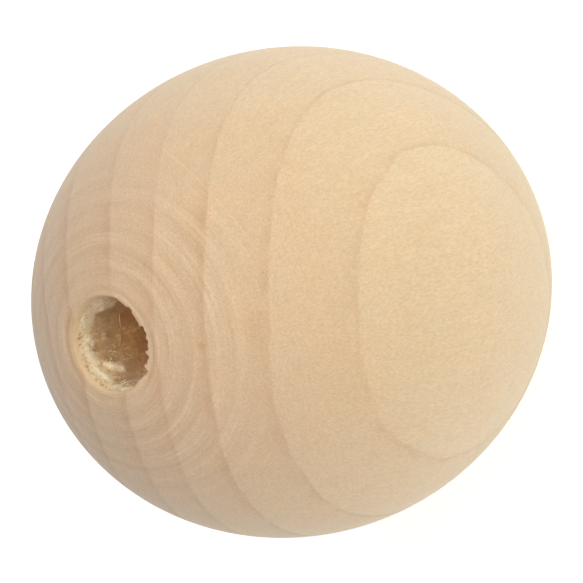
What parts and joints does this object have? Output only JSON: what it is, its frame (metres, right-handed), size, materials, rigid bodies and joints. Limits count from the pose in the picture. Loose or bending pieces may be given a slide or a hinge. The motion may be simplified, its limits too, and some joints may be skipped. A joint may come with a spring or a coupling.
{
  "type": "wooden bead",
  "caption": "Turned wooden bead, a slightly long ball with a straight cord hole bored through it and the edges of its mouths rounded over.",
  "frame": {"origin": "middle of the bead, on the bore's axis halfway between the two faced ends", "axes": "+Z along the bore, out of the mouth that faces the picture; the bead stands on its -Z end; -Y is the side where the growth rings bulge"},
  "size_m": [0.05, 0.05, 0.055],
  "materials": {
    "wood": "matte"
  },
  "bodies": {
    "root": {"bead": "wood"}
  },
  "joints": []
}
